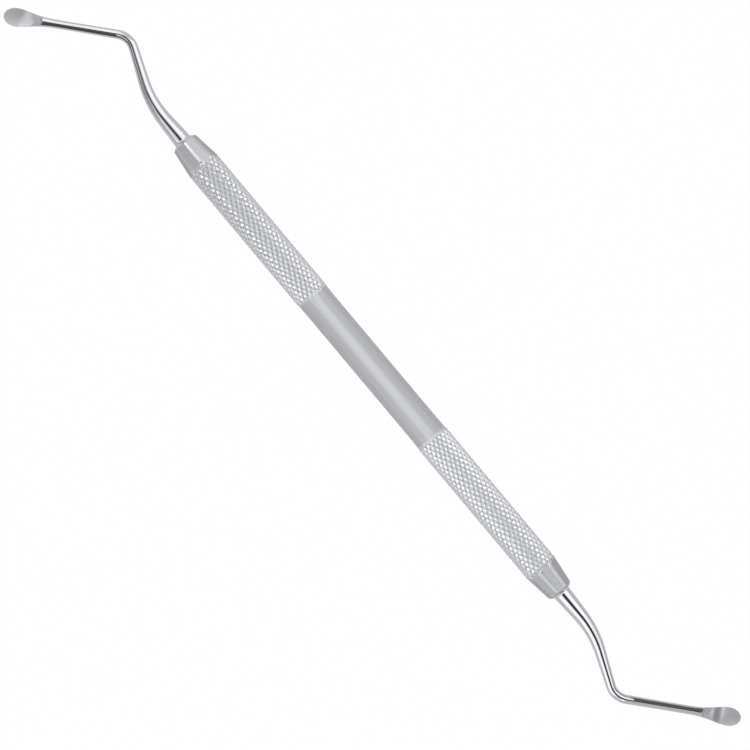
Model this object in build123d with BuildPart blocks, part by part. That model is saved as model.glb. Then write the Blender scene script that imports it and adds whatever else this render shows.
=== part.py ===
from build123d import *
from math import cos, exp, pi, radians, sin, sqrt, tan
import os

# A double-ended bone curette: a knurled bar handle and two bent working ends with
# spoon bowls. X runs along the handle, the bowls open towards +Z, and Z = 0 is the
# surface that the instrument lies on. All sizes are in millimetres.

# Handle: smooth middle, a knurled zone on each side, and a tapered end with flats
middle_length = 30.6
middle_radius = 2.86
knurl_length = 29.45
taper_length = 4.5
end_radius = 2.30
end_chamfer = 0.34
taper_angle = 7.6

# Diamond knurl: rows of crests half a pitch apart, turned half a tooth each row
knurl_starts = 20
knurl_row = 0.75
knurl_rise = 0.14
knurl_depth = 0.28
knurl_edge_step = 0.03

# Flats milled round each end, set off by the roll of the bar in the cutter
flat_count = 8
flat_end_radius = 2.21
flat_angle = 7.3
left_flat_roll = 0.0
right_flat_roll = 13.5

# Tang and bore, with the gap that the braze fills
tang_radius = 1.20
tang_length = 8.0
braze_gap = 0.02
bore_end_room = 0.5

# Shoulder and shank, which tapers fast at first and then hardly at all
shoulder_radius = 1.82
shoulder_land = 0.08
shoulder_fillet = 0.36
shank_root_radius = 1.53
shank_arm_radius = 0.71
taper_run = 10.8
taper_power = 1.3

# Bends of the shank, on its centreline from the shoulder's face
bend_distance = 8.74
bend_angle = 22.8
bend_radius = 18.0
incline_length = 11.67
elbow_angle = 63.3
elbow_radius = 3.3
arm_length = 21.5
section_pitch = 0.6

# Spoon bowl: the neck swells into a drop, which is ground flat on top and scooped out
bowl_length = 9.2
bowl_half_width = 1.57
bowl_tip_length = 2.1
bowl_half_depth = 0.85
bowl_lift = 0.10
flat_height = 0.40
flat_length = 6.3
ramp_angle = 45.0
scoop_length = 5.4
scoop_bottom_length = 2.8
scoop_depth = 0.50
scoop_tip_rise = 0.24
scoop_crown_radius = 10.0
scoop_pitch = 0.4

crest_radius = middle_radius + knurl_rise
groove_radius = crest_radius - knurl_depth
knurl_rows = round(knurl_length / knurl_row)
knurl_columns = 2 * knurl_starts
knurl_start = middle_length / 2
knurl_end = knurl_start + knurl_length
handle_half = knurl_end + taper_length
bore_radius = tang_radius + braze_gap
bore_depth = tang_length + bore_end_room
# The bar lies on two neighbouring lines of crests, so its axis is this high
axis_height = crest_radius * cos(pi / knurl_columns)
shoulder_length = shoulder_land + shoulder_fillet


def knurl_point(row, column):
    """A corner of the knurl: crest, groove or one of the plain rings that close it."""
    radius = crest_radius if (row + column) % 2 == 0 else groove_radius
    if row == 0:
        radius = middle_radius + knurl_edge_step
    if row == knurl_rows:
        radius = crest_radius
    angle = 2 * pi * (column + 0.5) / knurl_columns
    x = knurl_start + knurl_length * row / knurl_rows
    return Vector(x, radius * sin(angle), axis_height - radius * cos(angle))


def knurl_zone():
    """A closed bar of pyramids: each cell of the grid folds along its groove."""
    columns = range(knurl_columns)
    grid = [[knurl_point(row, column) for column in columns] for row in range(knurl_rows + 1)]
    facets = [Face(Wire.make_polygon(ring)) for ring in (grid[0], grid[-1])]
    for row in range(knurl_rows):
        for column in columns:
            near = grid[row][column]
            side = grid[row][column - 1]
            far = grid[row + 1][column]
            across = grid[row + 1][column - 1]
            if (row + column) % 2 == 0:
                halves = (near, side, far), (across, far, side)
            else:
                halves = (side, across, near), (far, near, across)
            facets += [Face(Wire.make_polygon(half)) for half in halves]
    return Solid(Shell(facets))


def shank_radius(distance):
    """Radius of the round shank at a distance along its centreline."""
    swelling = shank_root_radius - shank_arm_radius
    return shank_arm_radius + swelling * exp(-((distance / taper_run) ** taper_power))


def bowl_swell(share):
    """Share of the bowl's full width, from 0 at the neck to 1 at its widest place."""
    return sin(pi / 2 * share**2) ** 2


def scoop_floor(tip_distance):
    """Height of the scoop's line: it dips from the flat and rises again to the tip."""
    dip = min(1, (scoop_length - tip_distance) / (scoop_length - scoop_bottom_length))
    rise = max(0, 1 - tip_distance / scoop_bottom_length)
    return flat_height - scoop_depth * sin(pi / 2 * dip) ** 2 + scoop_tip_rise * rise**1.5


# Seats of the two working ends: the end faces of the handle, with X pointing outwards
bar_plane = Plane.XY.offset(axis_height)
bar_axis = Axis((0, 0, axis_height), (1, 0, 0))
right_seat = Plane((handle_half, 0, axis_height), x_dir=(1, 0, 0), z_dir=(0, 0, 1))
left_seat = Plane((-handle_half, 0, axis_height), x_dir=(-1, 0, 0), z_dir=(0, 0, 1))

# The form that the ends of the bar are turned and milled to, with the bores for the tangs
clear_radius = crest_radius + 2 * knurl_rise
taper_reach = (clear_radius - end_radius) / tan(radians(taper_angle))
with BuildPart() as turned_form:
    with BuildSketch(bar_plane) as half_profile:
        with BuildLine():
            Polyline(
                (-handle_half, 0),
                (-handle_half, end_radius),
                (-handle_half + taper_reach, clear_radius),
                (handle_half - taper_reach, clear_radius),
                (handle_half, end_radius),
                (handle_half, 0),
                close=True,
            )
        make_face()
        chamfer(half_profile.vertices().group_by(Axis.Y)[1], end_chamfer)
    revolve(axis=bar_axis)
    for seat, roll in ((left_seat, left_flat_roll), (right_seat, right_flat_roll)):
        with Locations(Plane(seat.origin, x_dir=seat.z_dir, z_dir=seat.x_dir)):
            with PolarLocations(flat_end_radius, flat_count, start_angle=roll + 180 / flat_count):
                Box(
                    clear_radius,
                    2 * clear_radius,
                    3 * taper_reach,
                    rotation=(0, -flat_angle, 0),
                    align=(Align.MIN, Align.CENTER, Align.CENTER),
                    mode=Mode.SUBTRACT,
                )
        with Locations(Plane(seat.origin, z_dir=seat.x_dir)):
            Cylinder(
                bore_radius,
                bore_depth,
                align=(Align.CENTER, Align.CENTER, Align.MAX),
                mode=Mode.SUBTRACT,
            )

# Knurled zones, trimmed where the taper and the flats run across their first rows
zone = knurl_zone()
with BuildPart() as right_knurl:
    add(zone)
    add(turned_form.part, mode=Mode.INTERSECT)
with BuildPart() as left_knurl:
    add(zone, rotation=(0, 0, 180))
    add(turned_form.part, mode=Mode.INTERSECT)

# Handle: smooth middle, two tapered ends and the knurled zones between them
with BuildPart() as handle:
    with Locations(Plane((0, 0, axis_height), z_dir=(1, 0, 0))):
        Cylinder(middle_radius, middle_length)
    for seat in (left_seat, right_seat):
        with Locations(Plane(seat.origin, z_dir=seat.x_dir)):
            Cylinder(crest_radius, taper_length, align=(Align.CENTER, Align.CENTER, Align.MAX))
    add(turned_form.part, mode=Mode.INTERSECT)
    add([left_knurl.part, right_knurl.part])
handle.part.label = "handle"

# Rounded tip of the bowl: half an ellipsoid that carries on the widest section
with BuildPart() as bowl_tip:
    Sphere(1)
    split(bisect_by=Plane.YZ, keep=Keep.TOP)
    scale(by=(bowl_tip_length, bowl_half_width, bowl_half_depth))

# Way of the wheel that scoops the bowl out: a slightly crowned face, drawn along the
# scoop's line and on past the tip
scoop_steps = round((scoop_length + bowl_tip_length) / scoop_pitch)
scoop_step = (scoop_length + bowl_tip_length) / scoop_steps
scoop_start = bowl_tip_length - scoop_length
with BuildPart() as scoop:
    with BuildLine(Plane.XZ) as scoop_line:
        Spline(
            [
                (scoop_start + scoop_step * step, scoop_floor(scoop_length - scoop_step * step))
                for step in range(scoop_steps + 1)
            ]
        )
    wheel_side = 2 * bowl_half_width
    wheel_rise = scoop_crown_radius - sqrt(scoop_crown_radius**2 - wheel_side**2)
    wheel_top = wheel_rise + 2 * bowl_half_depth
    with BuildSketch(Plane((scoop_start, 0, flat_height), x_dir=(0, 1, 0), z_dir=(1, 0, 0))):
        with BuildLine():
            ThreePointArc((-wheel_side, wheel_rise), (0, 0), (wheel_side, wheel_rise))
            Polyline(
                (wheel_side, wheel_rise),
                (wheel_side, wheel_top),
                (-wheel_side, wheel_top),
                (-wheel_side, wheel_rise),
            )
        make_face()
    sweep(path=scoop_line.line)

# Centreline of a working end, from the shoulder's far side to the bowl's widest place
bend_reach = bend_radius * tan(radians(bend_angle / 2))
elbow_reach = elbow_radius * tan(radians(elbow_angle / 2))
with BuildLine() as centreline:
    straight = Line((shoulder_length, 0), (bend_distance - bend_reach, 0))
    bend = JernArc(straight @ 1, straight % 1, bend_radius, -bend_angle)
    incline = PolarLine(bend @ 1, incline_length - bend_reach - elbow_reach, direction=bend % 1)
    elbow = JernArc(incline @ 1, incline % 1, elbow_radius, elbow_angle)
    slim_length = arm_length - elbow_reach - bowl_length - bowl_tip_length
    slim_arm = PolarLine(elbow @ 1, slim_length, direction=elbow % 1)
    bowl_line = PolarLine(slim_arm @ 1, bowl_length, direction=elbow % 1)
path = centreline.wire()
bowl_plane = Plane(path @ 1, x_dir=path % 1, z_dir=(0, 0, 1))

# Working end in its own place: its shoulder's face stands on the plane X = 0
with BuildPart() as end_form:
    # Tang, shoulder and the small fillet that runs into the shank
    root_radius = shank_radius(shoulder_length)
    with BuildSketch():
        with BuildLine():
            Polyline(
                (shoulder_length, root_radius),
                (shoulder_length, 0),
                (-tang_length, 0),
                (-tang_length, tang_radius),
                (0, tang_radius),
                (0, shoulder_radius),
                (shoulder_land, shoulder_radius),
            )
            Spline(
                (shoulder_land, shoulder_radius),
                (shoulder_length, root_radius),
                tangents=((0, -1), (1, 0)),
            )
        make_face()
    revolve(axis=Axis.X)

    # Shank, neck and bowl: one skin for each stretch of the centreline, through round
    # sections that turn oval along the bowl
    distance = shoulder_length
    for stretch in (straight, bend, incline, elbow, slim_arm, bowl_line):
        section_count = max(2, round(stretch.length / section_pitch))
        for index in range(section_count + 1):
            share = index / section_count
            swell = bowl_swell(share) if stretch is bowl_line else 0
            radius = shank_radius(distance + stretch.length * share)
            centre = stretch @ share + Vector(0, 0, bowl_lift * swell)
            forward = stretch % share
            with BuildSketch(Plane(centre, x_dir=Vector(0, 0, 1).cross(forward), z_dir=forward)):
                Ellipse(
                    radius + (bowl_half_width - radius) * swell,
                    radius + (bowl_half_depth - radius) * swell,
                )
        loft()
        distance += stretch.length
    with Locations(bowl_plane):
        with Locations((0, 0, bowl_lift)):
            add(bowl_tip.part)

    # The top of the neck and bowl is ground flat, with a ramp where the flat starts,
    # and the scoop runs on from the flat
    ramp_top = 2 * bowl_half_depth
    ramp_reach = (ramp_top - flat_height) / tan(radians(ramp_angle))
    flat_edge = bowl_tip_length - flat_length
    with BuildSketch(Plane(bowl_plane.origin, x_dir=bowl_plane.x_dir, z_dir=-bowl_plane.y_dir)):
        with BuildLine():
            Polyline(
                (flat_edge, flat_height),
                (2 * bowl_tip_length, flat_height),
                (2 * bowl_tip_length, ramp_top),
                (flat_edge - ramp_reach, ramp_top),
                close=True,
            )
        make_face()
    extrude(amount=2 * bowl_half_width, both=True, mode=Mode.SUBTRACT)
    with Locations(bowl_plane):
        add(scoop.part, mode=Mode.SUBTRACT)

# The same piece stands on both ends of the handle, half a turn apart
with BuildPart(right_seat) as right_end:
    add(end_form.part)
right_end.part.label = "right_working_end"
with BuildPart(left_seat) as left_end:
    add(end_form.part)
left_end.part.label = "left_working_end"

os.makedirs("parts", exist_ok=True)
export_step(handle.part, "parts/handle.step")
export_step(right_end.part, "parts/right_working_end.step")
export_step(left_end.part, "parts/left_working_end.step")
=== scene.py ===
# %% [markdown]
# # A double-ended bone curette
# This hand instrument is three pieces of stainless steel: a bar handle with a satin
# finish and two knurled zones, and two polished working ends brazed into its bores.
# It lies flat with both spoon bowls open to the viewer, on a white studio table.
# The imported model comes first, because every new surface has to sit exactly on it.
# Its box is kept.

# %% The frame
from math import cos, pi, radians, sin, tan

import bpy
import numpy as np
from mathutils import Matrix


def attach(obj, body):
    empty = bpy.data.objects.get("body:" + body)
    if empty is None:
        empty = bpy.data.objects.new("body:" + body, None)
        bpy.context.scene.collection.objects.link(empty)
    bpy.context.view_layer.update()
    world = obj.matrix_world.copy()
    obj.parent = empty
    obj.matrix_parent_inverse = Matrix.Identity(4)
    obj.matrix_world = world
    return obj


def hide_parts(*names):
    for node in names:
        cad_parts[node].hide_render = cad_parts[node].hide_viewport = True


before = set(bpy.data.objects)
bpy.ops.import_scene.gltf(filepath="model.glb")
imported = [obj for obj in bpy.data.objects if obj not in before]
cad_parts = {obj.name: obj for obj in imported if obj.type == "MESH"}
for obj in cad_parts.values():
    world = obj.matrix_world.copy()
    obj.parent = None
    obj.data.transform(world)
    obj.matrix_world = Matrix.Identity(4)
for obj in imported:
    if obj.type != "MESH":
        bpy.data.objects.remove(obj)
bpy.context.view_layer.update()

MM = 0.001
print("nodes from the model:", sorted(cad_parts))

# %% [markdown]
# ## The camera
# The picture was taken from straight above, with the instrument turned so that it
# runs from the upper left to the lower right. A camera can be aimed at a target, but
# one that looks straight down needs only a turn about its own line of sight. Its
# distance sets how much the two ends lean away from the lens. A table-top camera a
# little under half a metre up gives the small lean that the reflections show, and the
# lens is then chosen so that the picture spans 126 mm at the height of the handle's
# axis. The handle rests on its knurl, which holds that axis just under 3 mm up.

# %% The camera
CAMERA_HEIGHT = 450.0
CAMERA_TURN = 50.0
NEAREST_SEEN = 10.0
PICTURE_SPAN = 126.1
PICTURE_CENTRE = (1.34, -0.52)
SENSOR_WIDTH = 36.0
AXIS_HEIGHT = 2.9908

lens_data = bpy.data.cameras.new("table_top_camera")
lens_data.sensor_width = SENSOR_WIDTH
lens_data.lens = SENSOR_WIDTH * (CAMERA_HEIGHT - AXIS_HEIGHT) / PICTURE_SPAN
lens_data.clip_start = NEAREST_SEEN * MM
camera = bpy.data.objects.new("table_top_camera", lens_data)
camera.location = (PICTURE_CENTRE[0] * MM, PICTURE_CENTRE[1] * MM, CAMERA_HEIGHT * MM)
camera.rotation_euler = (0.0, 0.0, radians(CAMERA_TURN))
bpy.context.scene.collection.objects.link(camera)
bpy.context.scene.camera = camera
bpy.context.scene.view_settings.view_transform = "Standard"
print("lens in mm:", round(lens_data.lens, 1))

# %% [markdown]
# ## White table and sky
# A shop photograph has a pure white ground. More lamp light would bleach the steel as
# well, so the white comes from the material: what the camera sees of the table is
# nearly all its own white glow. A small share is lit by the sky, and keeps the soft
# shadow under the instrument. The steel mirrors a weaker glow, because paper under a
# lamp is greyer from the side, and this gives the bars their grey outlines. The sky is
# handled the same way: white to the camera, and weaker in the steel.
# Nodes do this sum for each ray of light, so a few helpers that write sums as nodes
# come first.


# %% Sums in a node tree
def link(tree, source, target):
    """Joins two sockets of a node tree."""
    tree.links.new(source, target)


def feed(tree, value, socket):
    """Sets a socket to a plain number, or joins it to the socket that gives the number."""
    if isinstance(value, float):
        socket.default_value = value
    else:
        link(tree, value, socket)


def worked_out(tree, operation, *values):
    """The result of one operation, such as MULTIPLY, on numbers or sockets."""
    node = tree.nodes.new("ShaderNodeMath")
    node.operation = operation
    for value, socket in zip(values, node.inputs):
        feed(tree, value, socket)
    return node.outputs[0]


# %% A ramp in a node tree
def spread(tree, value, low, high, start=0.0, end=1.0, style="LINEAR"):
    """A number that goes from low to high while the value goes from start to end."""
    ramp = tree.nodes.new("ShaderNodeMapRange")
    ramp.interpolation_type = style
    ramp.inputs["From Min"].default_value = start
    ramp.inputs["From Max"].default_value = end
    ramp.inputs["To Min"].default_value = low
    ramp.inputs["To Max"].default_value = high
    link(tree, value, ramp.inputs["Value"])
    return ramp.outputs[0]


# %% What a ray sees
DIRECT_RAYS = ["Is Camera Ray", "Is Glossy Ray", "Is Transmission Ray"]


def seen_by(tree, kinds):
    """1 for any of the kinds of rays named and 0 for all others: the largest of them."""
    path = tree.nodes.new("ShaderNodeLightPath")
    largest = path.outputs[kinds[0]]
    for kind in kinds[1:]:
        largest = worked_out(tree, "MAXIMUM", largest, path.outputs[kind])
    return largest


def glow_strength(tree, in_steel):
    """The strength of a white glow: 1 to the camera, and in_steel where steel mirrors it."""
    return spread(tree, seen_by(tree, ["Is Camera Ray"]), in_steel, 1.0)


def mixed(tree, share, first, second):
    """The second shader times the share, plus the first times one less the share."""
    mix = tree.nodes.new("ShaderNodeMixShader")
    link(tree, share, mix.inputs[0])
    link(tree, first.outputs[0], mix.inputs[1])
    link(tree, second.outputs[0], mix.inputs[2])
    return mix.outputs[0]


# %% The sky
SKY_LEVEL = 0.72
SKY_GLOW_IN_STEEL = 0.72
WHITE = (1.0, 1.0, 1.0, 1.0)

world = bpy.data.worlds.new("studio_sky")
world.use_nodes = True
bpy.context.scene.world = world
tree = world.node_tree
tree.nodes.clear()
room = tree.nodes.new("ShaderNodeBackground")
room.inputs["Color"].default_value = WHITE
room.inputs["Strength"].default_value = SKY_LEVEL
white = tree.nodes.new("ShaderNodeBackground")
white.inputs["Color"].default_value = WHITE
link(tree, glow_strength(tree, SKY_GLOW_IN_STEEL), white.inputs["Strength"])
sky_out = tree.nodes.new("ShaderNodeOutputWorld")
link(tree, mixed(tree, seen_by(tree, DIRECT_RAYS), room, white), sky_out.inputs[0])
print("nodes in the sky:", len(tree.nodes))


# %% Flat sheets
def flat_sheet(name, half_width, half_depth, looks_up):
    """A rectangle about the origin, whose corners are plus and minus the two halves."""
    corners = [(-half_width, -half_depth, 0), (half_width, -half_depth, 0),
               (half_width, half_depth, 0), (-half_width, half_depth, 0)]
    order = (0, 1, 2, 3) if looks_up else (0, 3, 2, 1)
    mesh = bpy.data.meshes.new(name)
    mesh.from_pydata(corners, [], [order])
    item = bpy.data.objects.new(name, mesh)
    bpy.context.scene.collection.objects.link(item)
    return item


def bare_finish(item, name):
    """Gives an item a material with only its output, and returns its tree and surface."""
    finish = bpy.data.materials.new(name)
    finish.use_nodes = True
    item.data.materials.append(finish)
    tree = finish.node_tree
    tree.nodes.clear()
    out = tree.nodes.new("ShaderNodeOutputMaterial")
    return tree, out.inputs["Surface"]


# %% The table
TABLE_HALF = 2000.0
TABLE_GLOW_SHARE = 0.99
TABLE_GLOW_IN_STEEL = 0.66
TABLE_COLOUR = (0.9, 0.9, 0.9, 1.0)

table = flat_sheet("table", TABLE_HALF * MM, TABLE_HALF * MM, looks_up=True)
tree, surface = bare_finish(table, "white_table")
lit = tree.nodes.new("ShaderNodeBsdfDiffuse")
lit.inputs["Color"].default_value = TABLE_COLOUR
glow = tree.nodes.new("ShaderNodeEmission")
link(tree, glow_strength(tree, TABLE_GLOW_IN_STEEL), glow.inputs["Strength"])
share = worked_out(tree, "MULTIPLY", seen_by(tree, DIRECT_RAYS), TABLE_GLOW_SHARE)
link(tree, mixed(tree, share, lit, glow), surface)
print("width of the table in m:", 2 * TABLE_HALF * MM)

# %% [markdown]
# ## Soft boxes and cards
# Polished steel has hardly a colour of its own: it shows the room. Product
# photographers light it with large soft boxes and place dark cards where they want a
# crisp dark line. Area lamps could light it too, but a mirror shows their hard rims and
# none of them is dark, so every box and card here is a flat panel that fades towards
# its rim. A box glows, and a card is black or grey. Only the steel sees them, because
# the camera looks through them and they cast no shadow. Where two overlap, the lower
# one hides the upper.
# A round bar that runs away from the middle of the picture mirrors the ceiling beyond
# its own end, so each working end has its own cards and boxes there, and the handle has
# a strip of its own over the middle. The arms run another way than the handle does, so
# their panels are turned with them. What an arm mirrors and the slanting part of the
# shank doesn't has to hang close to it: that is the small flag.


# %% The fade of a panel's rim
def rim_fade(tree, half, fade):
    """1 inside the fade and 0 at the rim: the product of a smooth step along each axis."""
    place = tree.nodes.new("ShaderNodeTexCoord")
    parts = tree.nodes.new("ShaderNodeSeparateXYZ")
    link(tree, place.outputs["Object"], parts.inputs[0])
    steps = []
    for axis in (0, 1):
        aside = worked_out(tree, "ABSOLUTE", parts.outputs[axis])
        inner = half[axis] - fade[axis] * MM
        steps.append(spread(tree, aside, 0.0, 1.0, half[axis], inner, "SMOOTHSTEP"))
    return worked_out(tree, "MULTIPLY", *steps)


# %% Panels over the table
def panel(name, low, high, level, height, fade, turn=0.0):
    """A flat rectangle that hangs over the table and looks down.

    It spans from its low to its high corner in mm, and is then rotated about the upright
    through the middle of the handle: x cosine - y sine, x sine + y cosine.
    its glow, 0 for a black card, and the fade is a width along each axis."""
    low, high = np.array(low) * MM, np.array(high) * MM
    half, middle = (high - low) / 2, (high + low) / 2
    item = flat_sheet(name, *half, looks_up=False)
    aim = radians(turn)
    item.location = (middle[0] * cos(aim) - middle[1] * sin(aim),
                     middle[0] * sin(aim) + middle[1] * cos(aim), height * MM)
    item.rotation_euler = (0.0, 0.0, aim)
    tree, surface = bare_finish(item, name)
    clear = tree.nodes.new("ShaderNodeBsdfTransparent")
    glow = tree.nodes.new("ShaderNodeEmission")
    glow.inputs["Strength"].default_value = level
    link(tree, mixed(tree, rim_fade(tree, half, fade), clear, glow), surface)
    item.visible_camera = False
    item.visible_diffuse = False
    item.visible_shadow = False
    print(name, "hangs at", height, "mm and glows at", level)


# %% Heights in mm, the turn of the arms, and the strip over the handle
HIGH = 250.0
LOW = 60.0
NEAR = 6.0
ARM_TURN = 40.5
panel("middle_strip", (-60, -190), (60, 190), 1.25, HIGH + 10, (16, 100))

# %% Over the left end
panel("left_card", (-134, -130), (-62, 30), 0.06, HIGH, (8, 20))
panel("left_strip_box", (-170, -40), (-134, 50), 1.6, HIGH + 2, (10, 12))
panel("left_outer_box", (-310, -170), (-172, 170), 2.2, HIGH + 4, (12, 20))
panel("left_far_box", (-84, 14), (-30, 165), 1.32, LOW, (6, 8))
panel("left_near_box", (-84, -190), (-50, -18), 1.15, LOW, (6, 84))
panel("left_grey_card", (-185, -170), (-76, -12), 0.45, LOW - 2, (6, 8))
panel("left_slant_card", (-94, -32), (-76, -4), 0.15, LOW - 3, (4, 6))
panel("left_arm_box", (-84, 62), (-52, 240), 1.2, LOW - 4, (4, 8), ARM_TURN)
panel("left_bowl_box", (-150, 22), (-102, 88), 1.7, LOW - 3, (12, 12), ARM_TURN)
panel("left_tip_card", (-84, 30), (-67, 61), 0.0, LOW + 2, (4, 4), ARM_TURN)
panel("left_arm_flag", (-66, 5), (-51.6, 47.7), 0.08, NEAR, (0.5, 0.5), ARM_TURN)

# %% Over the right end
panel("right_card", (60, -84), (152, 92), 0.06, HIGH, (12, 14))
panel("right_slant_card", (126, 46), (176, 100), 0.1, HIGH - 2, (8, 10))
panel("right_outer_box", (168, -170), (310, 170), 2.2, HIGH + 4, (12, 20))
panel("right_far_box", (42, 18), (88, 165), 1.36, LOW, (6, 10))
panel("right_side_box", (88, 42), (190, 200), 1.3, LOW, (8, 10))
panel("right_near_box", (30, -165), (90, -20), 1.36, LOW, (6, 10))
panel("right_arm_card", (54, -250), (86, -66), 0.58, LOW - 4, (4, 8), ARM_TURN)
panel("right_bowl_card", (97, -92), (165, -30), 0.0, LOW - 3, (6, 4), ARM_TURN)
panel("right_tip_box", (73, -68), (92, -38), 1.0, LOW + 2, (3, 6), ARM_TURN)
panel("right_arm_flag", (52.6, -47.8), (66, -5), 0.12, NEAR, (0.5, 0.5), ARM_TURN)

# %% [markdown]
# ## Surfaces from grids of points
# Every piece here is a long bar that is round or nearly round. Spinning an outline or
# bevelling a curve makes a plain bar, but can't carry a knurl or a ground bowl. So each
# piece is a stack of closed rings of points, which are worked out as whole arrays. Each
# cell between two rings is cut into two triangles, and where a knurl's groove runs
# across a cell the cut follows the groove. A point in the middle closes each end.


# %% Triangles between rings
def ring_faces(rows, columns, rising=None):
    """Triangles of a skin over rings of points, and of a fan at each end.

    A cell has a and b on one ring, and c and d above them on the next. A rising cell is
    cut from b to c and the others from a to d, and without a choice they take turns.
    The two poles come after the ring points."""
    row, column = np.meshgrid(np.arange(rows - 1), np.arange(columns), indexing="ij")
    a = row * columns + column
    b = row * columns + (column + 1) % columns
    c, d = a + columns, b + columns
    if rising is None:
        rising = (row + column) % 2 == 0
    choose = rising[..., None]
    first = np.where(choose, np.stack([a, b, c], -1), np.stack([a, b, d], -1))
    second = np.where(choose, np.stack([b, d, c], -1), np.stack([a, d, c], -1))
    body = np.stack([first, second], 2).reshape(-1, 3)
    ring = np.arange(columns)
    after = (ring + 1) % columns
    start_pole, end_pole = rows * columns, rows * columns + 1
    last = (rows - 1) * columns
    near_cap = np.stack([np.full(columns, start_pole), after, ring], -1)
    far_cap = np.stack([np.full(columns, end_pole), last + ring, last + after], -1)
    return np.vstack([body, near_cap, far_cap])


# %% Rings to a mesh
SHARP_ANGLE = 24.0


def wrapped_skin(name, rings, poles, rising=None, flat=None):
    """A closed mesh from rings of points (rows x columns x 3) and one pole at each end.

    rising tells how cells are cut, and flat which of them keep their facets. Points are
    in mm, and rings turn right-handed about the way that the rows advance, so that
    faces point outwards."""
    points = np.vstack([rings.reshape(-1, 3), np.array(poles)]) * MM
    faces = ring_faces(*rings.shape[:2], rising)
    smooth = np.ones(len(faces), bool)
    if flat is not None:
        smooth[:2 * flat.size] = ~np.repeat(flat.ravel(), 2)
    mesh = bpy.data.meshes.new(name)
    mesh.vertices.add(len(points))
    mesh.vertices.foreach_set("co", points.ravel())
    mesh.loops.add(faces.size)
    mesh.loops.foreach_set("vertex_index", faces.ravel())
    mesh.polygons.add(len(faces))
    mesh.polygons.foreach_set("loop_start", np.arange(0, faces.size, 3))
    mesh.polygons.foreach_set("loop_total", np.full(len(faces), 3))
    mesh.polygons.foreach_set("use_smooth", smooth)
    mesh.update()
    mesh.validate()
    mesh.set_sharp_from_angle(angle=radians(SHARP_ANGLE))
    item = bpy.data.objects.new(name, mesh)
    bpy.context.scene.collection.objects.link(item)
    print(name, "has", len(faces), "triangles")
    return item


# %% Numbers on a mesh
def point_values(item, name, values):
    """Keeps one number for each ring point on the mesh, with 0 at the two poles."""
    layer = item.data.attributes.new(name, "FLOAT", "POINT")
    layer.data.foreach_set("value", np.append(values.ravel(), [0.0, 0.0]))


# %% [markdown]
# ## The handle
# The handle is one turned bar. Its middle is smooth and slightly thinner than the two
# knurled zones. A knurling wheel presses two families of slanting grooves into the bar,
# and what stays between them are small pyramids, whose tips keep a little of the bar's
# own skin. Each end is turned to a slight cone, chamfered, and milled with eight flats
# that run out across the first rows of pyramids.
# Boolean cuts could make this groove by groove, but slowly, and with ragged triangles.
# Here all of it is one number: the distance from the axis to the surface, at a place
# along the bar and an angle round it. Each tool takes metal off, so the surface is
# wherever the deepest of them reached, which is the smallest of their distances. Each
# point also keeps which tool that was, because the finish differs from tool to tool.
# The cones' marks also carry a painted highlight on the left end and painted shade on the right.

# %% Lengths of the handle, in mm
MIDDLE_LENGTH = 30.6
KNURL_LENGTH = 29.45
TAPER_LENGTH = 4.5

knurl_start = MIDDLE_LENGTH / 2
knurl_end = knurl_start + KNURL_LENGTH
handle_half = knurl_end + TAPER_LENGTH
print("length of the handle in mm:", round(2 * handle_half, 2))


def in_knurl(along):
    """Whether a place along the bar lies in one of the two knurled zones."""
    return (np.abs(along) > knurl_start) & (np.abs(along) < knurl_end)


# %% The knurl's two families of grooves
KNURL_ROWS = 39
KNURL_COLUMNS = 40
CROSSING_SHARPNESS = 3

row_pitch = KNURL_LENGTH / KNURL_ROWS
column_pitch = 360 / KNURL_COLUMNS


def knurl_place(along, angle):
    """Place in the knurl: u rows from its start, and v columns round the bar."""
    return (along - knurl_start) / row_pitch, angle / column_pitch - 0.5


def groove_distances(u, v):
    """Distance from each family of grooves, from 0 in a groove to 1 midway between two.

    One family lies where u + v is odd, and the other where u - v is odd."""
    return np.abs((u + v) % 2 - 1), np.abs((u - v) % 2 - 1)


def crossings(u, v):
    """1 where two grooves cross, less the sharpness times the farther one's distance."""
    return np.clip(1 - CROSSING_SHARPNESS * np.maximum(*groove_distances(u, v)), 0, 1)


# %% The rolled bar
MIDDLE_RADIUS = 2.86
CREST_RADIUS = 3.0
GROOVE_RADIUS = 2.79
PYRAMID_HEIGHT = 0.28
KNURL_EDGE_RADIUS = 2.89


def knurled_radius(along, angle):
    """Radius of the rolled bar, at a place along it from the middle of the handle.

    It is the groove radius plus the pyramid height times the distance to the nearer
    groove, cut off at the bar's own skin. Over the first and the last row the pyramids
    fade into a plain ring."""
    u, v = knurl_place(along, angle)
    height = np.minimum(*groove_distances(u, v))
    radius = np.minimum(GROOVE_RADIUS + PYRAMID_HEIGHT * height, CREST_RADIUS)
    left = KNURL_ROWS - u
    radius = np.where(u < 1, KNURL_EDGE_RADIUS + (radius - KNURL_EDGE_RADIUS) * u, radius)
    radius = np.where(left < 1, CREST_RADIUS + (radius - CREST_RADIUS) * left, radius)
    radius = np.where(u < 0, MIDDLE_RADIUS, radius)
    return np.where(left < 0, CREST_RADIUS, radius)


# %% The turned and milled ends, in mm and degrees
END_RADIUS = 2.30
END_CHAMFER = 0.34
TAPER_ANGLE = 7.6
FLAT_COUNT = 8
FLAT_RADIUS = 2.21
FLAT_ANGLE = 7.3


def flat_offset(angle, roll):
    """Angle from the middle of the nearest flat: the remainder, less half a step."""
    step = 360 / FLAT_COUNT
    return (angle - roll) % step - step / 2


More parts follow.
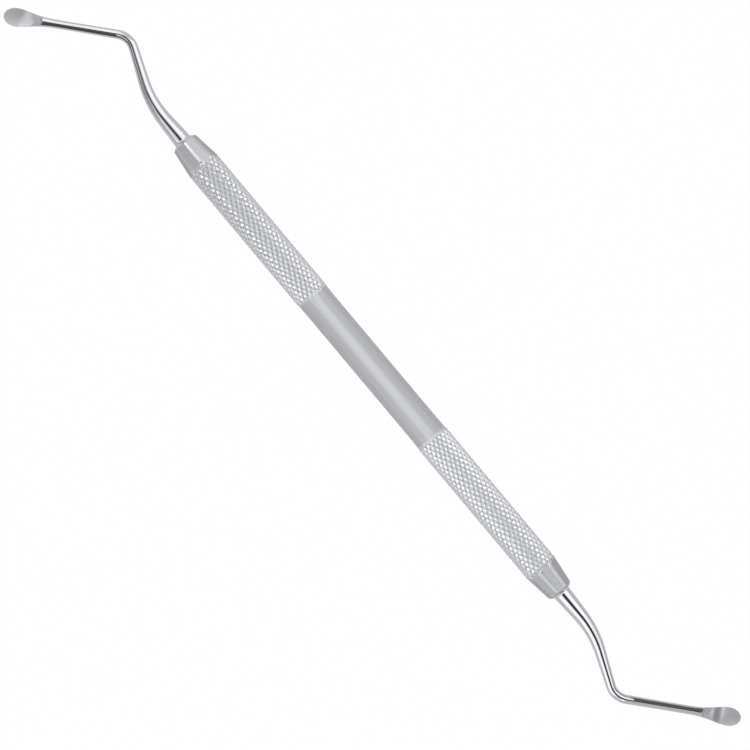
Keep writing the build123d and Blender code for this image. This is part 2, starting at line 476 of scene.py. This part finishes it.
def end_radii(inward, angle, roll):
    """Radius left by the cone, the chamfer and the flats, at a distance from the end.

    A cone grows by the tangent of its angle as it runs inwards, and the chamfer faster.
    A flat is a slanting plane, so away from its middle it is divided by the cosine."""
    cone = END_RADIUS + inward * tan(radians(TAPER_ANGLE))
    chamfer_rise = 1 + sin(radians(TAPER_ANGLE))
    chamfer = END_RADIUS - END_CHAMFER + inward * chamfer_rise / cos(radians(TAPER_ANGLE))
    flat = FLAT_RADIUS + inward * tan(radians(FLAT_ANGLE))
    flat = flat / np.cos(np.radians(flat_offset(angle, roll)))
    return cone, chamfer, flat


# %% Places of the rings, in mm and degrees
# One tooth of the knurl has the same number of points along the bar as round it. The
# last rows are given by their distances from the end face, close round the chamfer.
TOOTH_POINTS = 4
MIDDLE_ROWS = 8
CONE_ROWS = 28
CONE_ROWS_STOP = 0.45
CHAMFER_ROWS = [0.34, 0.295, 0.25, 0.17, 0.09, 0.0]

handle_columns = KNURL_COLUMNS * TOOTH_POINTS
ring_angles = (np.arange(handle_columns) / TOOTH_POINTS + 0.5) * column_pitch
middle_rows = np.linspace(0, knurl_start, MIDDLE_ROWS, endpoint=False)
knurl_rows = np.linspace(knurl_start, knurl_end, KNURL_ROWS * TOOTH_POINTS, endpoint=False)
cone_rows = handle_half - np.linspace(TAPER_LENGTH, CONE_ROWS_STOP, CONE_ROWS)
chamfer_rows = handle_half - np.array(CHAMFER_ROWS)
half_rows = np.concatenate([middle_rows, knurl_rows, cone_rows, chamfer_rows])
print("rings on each half of the handle:", len(half_rows))

# %% One half of the handle
# The tools are numbered in the order in which their radii are stacked.
BAR, CONE, CHAMFER, FLAT = range(4)


def half_handle(roll):
    """Radius at each ring and angle of one half, the tool that cut it, and the crossings.

    The radius is the smallest that any tool left, and the tool is the one that left it."""
    along, angle = np.meshgrid(half_rows, ring_angles, indexing="ij")
    left_by = np.stack([knurled_radius(along, angle), *end_radii(handle_half - along, angle, roll)])
    tool = left_by.argmin(axis=0)
    rolled = in_knurl(along) & (tool == BAR)
    return left_by.min(axis=0), tool, np.where(rolled, crossings(*knurl_place(along, angle)), 0.0)


# %% Both halves and the bores, in mm and degrees
# Angles are counted from the lowest line of the bar, so its top is half a turn on.
TOP = 180
RIGHT_ROLL = 13.5
LEFT_ROLL = 0.0
BORE_RADIUS = 1.22
BORE_DEPTH = 8.5

bore_end = handle_half - BORE_DEPTH
mirrored = (-np.arange(handle_columns) - TOOTH_POINTS) % handle_columns


def both_halves(left, right, face):
    """One grid from end to end: face, left half, right half and face.

    The left half is a right one rotated half a turn about the upright, so its rings come
    in the other order and its angles run the other way."""
    return np.vstack([face[::-1], left[:0:-1, mirrored], right, face])


# %% Rings of the whole handle
def handle_rings():
    """The whole handle: both halves, end faces and bores.

    Point = (along, radius x sine, axis height - radius x cosine)."""
    right, right_tool, right_crossing = half_handle(TOP + RIGHT_ROLL)
    left, left_tool, left_crossing = half_handle(TOP + LEFT_ROLL)
    face_along = np.array([handle_half, handle_half, bore_end])
    face = np.full((len(face_along), handle_columns), BORE_RADIUS)
    face[0] = (right[-1].min() + BORE_RADIUS) / 2
    along = np.concatenate([-face_along[::-1], -half_rows[:0:-1], half_rows, face_along])
    radius = both_halves(left, right, face)
    tool = both_halves(left_tool, right_tool, np.full(face.shape, CONE))
    crossing = both_halves(left_crossing, right_crossing, np.zeros(face.shape))
    turn = np.radians(ring_angles)
    rings = np.empty(radius.shape + (3,))
    rings[..., 0] = along[:, None]
    rings[..., 1] = radius * np.sin(turn)
    rings[..., 2] = AXIS_HEIGHT - radius * np.cos(turn)
    return rings, radius, along, tool, crossing


# %% The handle's mesh, with its cells cut along the grooves
handle_points, handle_radius, handle_along, handle_tool, handle_crossing = handle_rings()
between = (handle_along[1:] + handle_along[:-1]) / 2
cell_row = np.floor((np.abs(between) - knurl_start) / row_pitch).astype(int)
cell_column = np.arange(handle_columns) // TOOTH_POINTS
own_column = np.where(between[:, None] > 0, cell_column, -cell_column - 2)
cut_rising = (cell_row[:, None] + own_column) % 2 == 0
facets = np.repeat(in_knurl(between)[:, None], handle_columns, 1)
bore_floors = [[-bore_end, 0, AXIS_HEIGHT], [bore_end, 0, AXIS_HEIGHT]]
handle = wrapped_skin("satin_handle", handle_points, bore_floors, cut_rising, facets)
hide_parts("handle")
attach(handle, "root")

# %% Marks of the tools, with painted shade and a painted highlight
knurled = np.repeat(in_knurl(handle_along)[:, None], handle_columns, 1)
crest_share = (handle_radius - GROOVE_RADIUS) / (CREST_RADIUS - GROOVE_RADIUS)
cone = np.isin(handle_tool, (CONE, CHAMFER))
on_left = (handle_along < 0)[:, None]
point_values(handle, "knurl", knurled)
# The groove and crossing marks carry painted shade: the knurl's grooves and the points where two grooves
# cross are given a darker tone.
point_values(handle, "groove", np.where(knurled, np.clip(1 - crest_share, 0, 1), 0.0))
point_values(handle, "crossing", handle_crossing)
# The two cones are cut alike: the left one is marked for a lighter, smoother finish, a painted highlight,
# and the right one takes the flats' darker tone, painted shade.
point_values(handle, "milled_and_shaded", (handle_tool == FLAT) | (cone & ~on_left))
point_values(handle, "left_cone_painted_sheen", cone & on_left)
print("points on the knurl:", int(knurled.sum()), "and on the flats:", int((handle_tool == FLAT).sum()))

# %% [markdown]
# ## The line of a working end
# Each working end starts straight, leans 22.8 degrees to one side and then turns 63.3
# degrees to the other at a tight elbow, all in one plane. A drawn curve could follow
# that, but its control points say little about angles and radii. A bender works with a
# heading that changes evenly along each bend and stays the same between them. So the
# line is found the same way: the heading at each distance, and the running sum of small
# steps in that heading.

# %% Sizes of the line, in mm and degrees
BEND_DISTANCE = 8.74
BEND_ANGLE = 22.8
BEND_RADIUS = 18.0
INCLINE_LENGTH = 11.67
ELBOW_ANGLE = 63.3
ELBOW_RADIUS = 3.3
ARM_LENGTH = 21.5
BOWL_LENGTH = 9.2
BOWL_TIP = 2.1

bend_reach = BEND_RADIUS * tan(radians(BEND_ANGLE / 2))
elbow_reach = ELBOW_RADIUS * tan(radians(ELBOW_ANGLE / 2))
bend_start = BEND_DISTANCE - bend_reach
bend_end = bend_start + BEND_RADIUS * radians(BEND_ANGLE)
elbow_start = bend_end + INCLINE_LENGTH - bend_reach - elbow_reach
elbow_end = elbow_start + ELBOW_RADIUS * radians(ELBOW_ANGLE)
line_end = elbow_end + ARM_LENGTH - BOWL_TIP - elbow_reach
neck = line_end - BOWL_LENGTH
print("length of the line in mm:", round(line_end, 2))

# %% Heading and place
LINE_STEP = 0.01


def heading(distance):
    """Heading in radians: level, less the bend's angle, plus the elbow's angle."""
    bend = np.interp(distance, [bend_start, bend_end], [0, BEND_ANGLE])
    elbow = np.interp(distance, [elbow_start, elbow_end], [0, ELBOW_ANGLE])
    return np.radians(elbow - bend)


def line_place(distance):
    """Place on the centreline: the running sum of small steps in the heading."""
    steps = np.arange(0, line_end + 2 * LINE_STEP, LINE_STEP)
    middle = heading((steps[1:] + steps[:-1]) / 2)
    x = np.concatenate([[0], np.cumsum(np.cos(middle) * LINE_STEP)])
    y = np.concatenate([[0], np.cumsum(np.sin(middle) * LINE_STEP)])
    return np.interp(distance, steps, x), np.interp(distance, steps, y)


# %% [markdown]
# ## Shank, shoulder and bowl
# The shank is ground and polished by hand, so it loses its thickness fast at first and
# then hardly at all, which an exponential curve follows. At the foot a small fillet
# runs out to a shoulder that covers the bore. At the other end the round section swells
# into an oval, and the oval closes over a rounded tip. The spoon is then ground into
# this solid shape: a flat with a ramp at its start, and a scoop that dips from the flat
# and rises again towards the tip. A sculpted bowl on a bevelled curve would show a
# seam, so shank and bowl are one stack of rings. Grinding only takes metal off, so a
# point's height is the lower of two: where the skin was, and where the wheel went.

# %% Thickness along the line, in mm
ROOT_RADIUS = 1.53
ARM_RADIUS = 0.71
THINNING_RUN = 10.8
THINNING_POWER = 1.3


def shank_radius(distance):
    """Arm radius plus the root's extra radius times e to -(distance / run) ^ power."""
    swelling = ROOT_RADIUS - ARM_RADIUS
    return ARM_RADIUS + swelling * np.exp(-((distance / THINNING_RUN) ** THINNING_POWER))


def bowl_swell(distance):
    """0 at the neck and 1 at the widest place: the squared sine of a squared share."""
    share = np.clip((distance - neck) / BOWL_LENGTH, 0, 1)
    return np.sin(pi / 2 * share**2) ** 2


# %% What the wheel leaves, in mm and degrees
BOWL_FLAT_HEIGHT = 0.40
BOWL_FLAT_LENGTH = 6.3
RAMP_ANGLE = 45.0
SCOOP_LENGTH = 5.4
SCOOP_BOTTOM_LENGTH = 2.8
SCOOP_DEPTH = 0.50
SCOOP_TIP_RISE = 0.24
SCOOP_RISE_POWER = 1.5
SCOOP_CROWN_RADIUS = 10.0


def scoop_floor(tip_distance):
    """Height of the scoop's line: the flat's height, less the depth times a squared sine
    that dips it, plus the tip's rise times a power of the share of the way to the tip."""
    dip = np.clip((SCOOP_LENGTH - tip_distance) / (SCOOP_LENGTH - SCOOP_BOTTOM_LENGTH), 0, 1)
    rise = np.maximum(0, 1 - tip_distance / SCOOP_BOTTOM_LENGTH) ** SCOOP_RISE_POWER
    return BOWL_FLAT_HEIGHT - SCOOP_DEPTH * np.sin(pi / 2 * dip) ** 2 + SCOOP_TIP_RISE * rise


def ground_height(ahead, aside):
    """Height of the ground top, at a distance ahead of the bowl's widest place.

    The flat has a ramp behind it. The scoop has the wheel's crown across it: the radius
    less the root of the radius squared minus the distance aside squared."""
    flat_edge = BOWL_TIP - BOWL_FLAT_LENGTH
    flat = BOWL_FLAT_HEIGHT + np.maximum(0, flat_edge - ahead) * tan(radians(RAMP_ANGLE))
    crown = SCOOP_CROWN_RADIUS - np.sqrt(SCOOP_CROWN_RADIUS**2 - aside**2)
    scoop = scoop_floor(BOWL_TIP - ahead) + crown
    return np.where(ahead > BOWL_TIP - SCOOP_LENGTH, np.minimum(flat, scoop), flat)


# %% The foot: tang, shoulder and fillet, in mm
TANG_RADIUS = 1.20
TANG_LENGTH = 8.0
SHOULDER_RADIUS = 1.82
SHOULDER_LAND = 0.08
SHOULDER_FILLET = 0.36
FILLET_ROWS = 9

shoulder_length = SHOULDER_LAND + SHOULDER_FILLET
fillet_turn = np.linspace(0, pi / 2, FILLET_ROWS)
fillet_along = shoulder_length - SHOULDER_FILLET * np.cos(fillet_turn)
fillet_drop = SHOULDER_RADIUS - shank_radius(shoulder_length)
fillet_radius = SHOULDER_RADIUS - fillet_drop * np.sin(fillet_turn)
foot_along = np.concatenate([[-TANG_LENGTH, 0, 0], fillet_along])
foot_radius = np.concatenate([[TANG_RADIUS, TANG_RADIUS, SHOULDER_RADIUS], fillet_radius])
print("length of the shoulder in mm:", round(shoulder_length, 2))

# %% Rows of the shank, the bowl and the tip
END_COLUMNS = 192
ROUND_NECK = 2.0
STRETCH_ROWS = [63, 23, 33, 149]
TIP_ROWS = 58

stops = [shoulder_length, elbow_start, elbow_end, neck + ROUND_NECK, line_end]
shank_rows = np.concatenate([np.linspace(start, stop, rows + 1)[1:]
                             for start, stop, rows in zip(stops, stops[1:], STRETCH_ROWS)])
tip_turn = np.linspace(0, pi / 2, TIP_ROWS + 2)[1:-1]
print("rings on each working end:", len(foot_along) + len(shank_rows) + len(tip_turn))


# %% Half widths and half heights, in mm
BOWL_HALF_WIDTH = 1.57
BOWL_HALF_DEPTH = 0.85
BOWL_LIFT = 0.10


def half_sizes(swell, bowl_half):
    """Half the width or height of every ring: the foot's radius, then the shank's, which
    swells to the bowl's half, and that times a cosine over the tip."""
    shank = shank_radius(shank_rows)
    return np.concatenate([foot_radius, shank + (bowl_half - shank) * swell, bowl_half * np.cos(tip_turn)])


# %% Rings of a working end
def working_end_rings():
    """Rings of one end on its own seat: foot, shank, bowl and tip.

    Point = place on the line + side x half width x sine - up x half height x cosine,
    raised with the swelling and lowered to the ground height where that is lower."""
    foot, tip = np.zeros(len(foot_along)), np.ones(len(tip_turn))
    reach = BOWL_TIP * np.sin(tip_turn)
    swell = bowl_swell(shank_rows)
    x, y = line_place(shank_rows)
    aim = heading(shank_rows)
    x = np.concatenate([foot_along, x, x[-1] + reach * cos(aim[-1])])
    y = np.concatenate([foot, y, y[-1] + reach * sin(aim[-1])])
    aim = np.concatenate([foot, aim, tip * aim[-1]])[:, None]
    lift = BOWL_LIFT * np.concatenate([foot, swell, tip])
    ahead = np.concatenate([foot_along - line_end, shank_rows - line_end, reach])
    turn = np.arange(END_COLUMNS) / END_COLUMNS * 2 * pi
    aside = half_sizes(swell, BOWL_HALF_WIDTH)[:, None] * np.sin(turn)
    skin = lift[:, None] - half_sizes(swell, BOWL_HALF_DEPTH)[:, None] * np.cos(turn)
    wheel = ground_height(ahead[:, None], aside)
    rings = np.empty(aside.shape + (3,))
    rings[..., 0] = x[:, None] - aside * np.sin(aim)
    rings[..., 1] = y[:, None] + aside * np.cos(aim)
    rings[..., 2] = np.minimum(skin, wheel)
    return rings, skin > wheel


# %% The two working ends
end_points, ground_top = working_end_rings()
tip_x, tip_y = line_place(line_end)
tip_aim = heading(line_end)
tang_pole = [-TANG_LENGTH, 0, 0]
tip_pole = [tip_x + BOWL_TIP * cos(tip_aim), tip_y + BOWL_TIP * sin(tip_aim), BOWL_LIFT]


def seated(points, side):
    """Points of a working end moved to its end of the handle. side is 1 or -1, and -1
    is half a turn about the upright."""
    return np.array(points, float) * [side, side, 1] + [side * handle_half, 0, AXIS_HEIGHT]


ends = []
for node, side in (("right_working_end", 1), ("left_working_end", -1)):
    end = wrapped_skin("polished_" + node, seated(end_points, side), seated([tang_pole, tip_pole], side))
    point_values(end, "ground", ground_top)
    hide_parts(node)
    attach(end, "root")
    ends.append(end)

# %% [markdown]
# ## Satin steel
# The handle is tumbled or blasted after knurling, which leaves an even matt grey with
# the finest speckle. Metal is made with the shader's metallic value at 1, so its colour
# is the colour of its reflections. A picture of steel would need unwrapping and show a
# seam, so the speckle is a noise that varies the roughness and a very shallow bump. On
# the knurl the crests are rubbed a little brighter, and the grooves stay duller and are
# painted darker, with a painted dark dot where two grooves cross: painted shade in the
# recesses. The flats are milled and look greyer. The two cones are cut alike, but the
# left one is painted lighter and smoother, a painted highlight, and the right one is
# painted as dark as the flats, painted shade. The marks on the mesh say where each of
# these is, and each lies over those before it.


# %% Metal and its marks
def metal(name):
    """A new material that is all metal, with its node tree and its shader."""
    finish = bpy.data.materials.new(name)
    finish.use_nodes = True
    shader = finish.node_tree.nodes["Principled BSDF"]
    shader.inputs["Metallic"].default_value = 1.0
    return finish, finish.node_tree, shader


def mark(tree, name):
    """The number that the mesh keeps under this name."""
    node = tree.nodes.new("ShaderNodeAttribute")
    node.attribute_name = name
    return node.outputs["Fac"]


def blended(tree, share, first, second):
    """A number that goes from the first to the second as the share goes from 0 to 1."""
    mix = tree.nodes.new("ShaderNodeMix")
    link(tree, share, mix.inputs["Factor"])
    feed(tree, first, mix.inputs["A"])
    feed(tree, second, mix.inputs["B"])
    return mix.outputs["Result"]


def marked(tree, value, marks):
    """The value, blended into each mark's own number where the mesh has that mark."""
    for name, own in marks.items():
        value = blended(tree, mark(tree, name), value, own)
    return value


# %% A cool grey
COOL_SHARES = {"Red": 0.98, "Green": 0.99, "Blue": 1.035}


def cool_grey(tree, tone):
    """The tone times a share for each channel, which gives blue a little more than red."""
    colour = tree.nodes.new("ShaderNodeCombineColor")
    for channel, share in COOL_SHARES.items():
        link(tree, worked_out(tree, "MULTIPLY", tone, share), colour.inputs[channel])
    return colour.outputs[0]


# %% The speckle
GRAINS_PER_METRE = 9000.0
GRAIN_DETAIL = 3.0


def speckle(tree):
    """Noise on the piece's own coordinates."""
    place = tree.nodes.new("ShaderNodeTexCoord")
    noise = tree.nodes.new("ShaderNodeTexNoise")
    noise.inputs["Scale"].default_value = GRAINS_PER_METRE
    noise.inputs["Detail"].default_value = GRAIN_DETAIL
    link(tree, place.outputs["Object"], noise.inputs["Vector"])
    return noise.outputs["Fac"]


# %% The handle's finish
SATIN_TONE = 0.62
# Of these tones, the grooves' and the crossings' are painted shade in the knurl's recesses, the left
# cone's is a painted highlight, and the right cone is painted as dark as the flats, painted shade.
SATIN_TONES = {"knurl": 0.83, "groove": 0.66, "crossing": 0.34, "milled_and_shaded": 0.52, "left_cone_painted_sheen": 0.72}
SMOOTHEST_GRAIN = 0.28
ROUGHEST_GRAIN = 0.42
GRAIN_RANGE = (0.3, 0.7)
SATIN_ROUGHNESSES = {"knurl": 0.16, "groove": 0.45, "left_cone_painted_sheen": 0.14}
BUMP_STRENGTH = 0.15
BUMP_HEIGHT = 0.02

satin, tree, shader = metal("satin_steel")
grain = speckle(tree)
rough = spread(tree, grain, SMOOTHEST_GRAIN, ROUGHEST_GRAIN, *GRAIN_RANGE)
link(tree, marked(tree, rough, SATIN_ROUGHNESSES), shader.inputs["Roughness"])
link(tree, cool_grey(tree, marked(tree, SATIN_TONE, SATIN_TONES)), shader.inputs["Base Color"])
bump = tree.nodes.new("ShaderNodeBump")
bump.inputs["Strength"].default_value = BUMP_STRENGTH
bump.inputs["Distance"].default_value = BUMP_HEIGHT * MM
link(tree, grain, bump.inputs["Height"])
link(tree, bump.outputs[0], shader.inputs["Normal"])
handle.data.materials.append(satin)
print("nodes in the satin steel:", len(tree.nodes))

# %% [markdown]
# ## Polished steel
# The shanks are buffed to a mirror, and only the ground top of the bowls keeps a satin
# finish from the wheel. Two materials could meet at the edge of the bowl, but their
# border would be a row of triangle sides. One material serves both: the mesh keeps a
# number at each point, 1 where the wheel went and 0 elsewhere, and the roughness and
# the tone follow it.

# %% The finish of the working ends
POLISHED_TONE = 0.72
POLISHED_TONES = {"ground": 0.5}
POLISHED_ROUGHNESS = 0.07
POLISHED_ROUGHNESSES = {"ground": 0.36}

polished, tree, shader = metal("polished_steel")
link(tree, marked(tree, POLISHED_ROUGHNESS, POLISHED_ROUGHNESSES), shader.inputs["Roughness"])
link(tree, cool_grey(tree, marked(tree, POLISHED_TONE, POLISHED_TONES)), shader.inputs["Base Color"])
for end in ends:
    end.data.materials.append(polished)
print("nodes in the polished steel:", len(tree.nodes))
